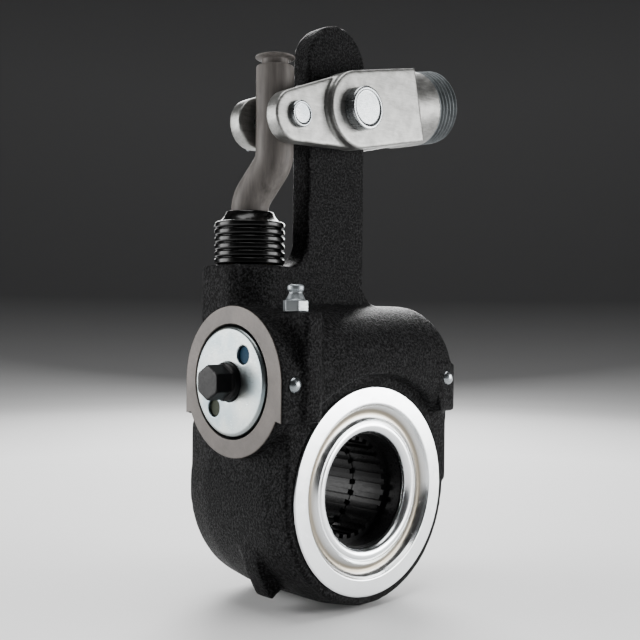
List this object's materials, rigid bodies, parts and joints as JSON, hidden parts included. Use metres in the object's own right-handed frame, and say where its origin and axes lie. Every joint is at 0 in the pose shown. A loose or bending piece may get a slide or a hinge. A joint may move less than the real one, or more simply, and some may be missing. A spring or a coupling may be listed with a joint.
{
  "type": "brake slack adjuster",
  "caption": "Automatic brake slack adjuster: arm with splined worm wheel, worm with adjusting hex, rack column with rubber boot, bent link and push-rod clevis.",
  "frame": {"origin": "on the camshaft spline's axis, in the middle plane of the arm and clevis", "axes": "+Z from the camshaft up along the arm, -Y out of the cover ring's side, -X out of the adjusting hex along the worm axis"},
  "size_m": [0.1189, 0.0616, 0.2154],
  "materials": {
    "painted_iron": "black satin paint over sand-cast iron",
    "machined_iron": "machined iron, warm grey",
    "zinc": "bright zinc plate",
    "plated_steel": "zinc plated machined steel",
    "black_oxide": "black oxide",
    "steel": "ground steel",
    "bronze": "sintered bronze",
    "rubber": "gloss black rubber"
  },
  "bodies": {
    "housing": {"housing": "painted_iron", "arm_bush": "bronze", "front_bearing_ring": "bronze", "front_cover_ring": "zinc", "rear_seal": "rubber", "end_cap": "zinc", "shaft_seal": "rubber", "cap_gasket": "rubber", "left_thrust_washer": "bronze", "right_thrust_washer": "bronze", "right_bush": "bronze", "right_end_plug": "painted_iron", "rack_guide": "bronze", "grease_fitting": "zinc", "drive_screws": "zinc"},
    "clevis": {"clevis": "plated_steel", "main_pin": "zinc", "link_pin": "zinc", "main_cotter": "zinc", "link_cotter": "zinc"},
    "link": {"link": "machined_iron"},
    "rack": {"rack_plunger": "steel", "link_foot_pin": "steel", "boot": "rubber"},
    "pinion": {"clutch_pinion": "steel"},
    "wheel": {"worm_wheel": "black_oxide"},
    "worm": {"worm_shaft": "black_oxide", "clutch_spring": "steel"}
  },
  "joints": [
    {"name": "clevis_swing", "type": "hinge", "parent": "housing", "child": "clevis", "pos_m": [0, 0, 0.1397], "axis": [0, -1, 0], "range_deg": [-18, 6]},
    {"name": "link_swing", "type": "hinge", "parent": "clevis", "child": "link", "pos_m": [-0.02734, 0, 0.13414], "axis": [0, -1, 0], "range_deg": [-6.5, 18.5]},
    {"name": "rack_slide", "type": "slide", "parent": "housing", "child": "rack", "axis": [0, 0, 1], "range_m": [-0.0031, 0.0089], "deforming": ["boot"]},
    {"name": "pinion_turn", "type": "hinge", "parent": "housing", "child": "pinion", "pos_m": [-0.031, 0, 0.0401], "axis": [1, 0, 0], "range_deg": [-20, 57]},
    {"name": "wheel_spin", "type": "hinge", "parent": "housing", "child": "wheel", "pos_m": [0, 0, 0], "axis": [0, 1, 0], "continuous": true},
    {"name": "worm_spin", "type": "hinge", "parent": "housing", "child": "worm", "pos_m": [0, 0, 0.0401], "axis": [1, 0, 0], "continuous": true}
  ],
  "couplings": [
    {"joint": "link_swing", "follows": "clevis_swing", "ratio": -1},
    {"joint": "rack_slide", "follows": "clevis_swing", "m_per_rad": -0.02734},
    {"joint": "pinion_turn", "follows": "clevis_swing", "ratio": -3.0378},
    {"joint": "worm_spin", "follows": "wheel_spin", "ratio": 22}
  ]
}
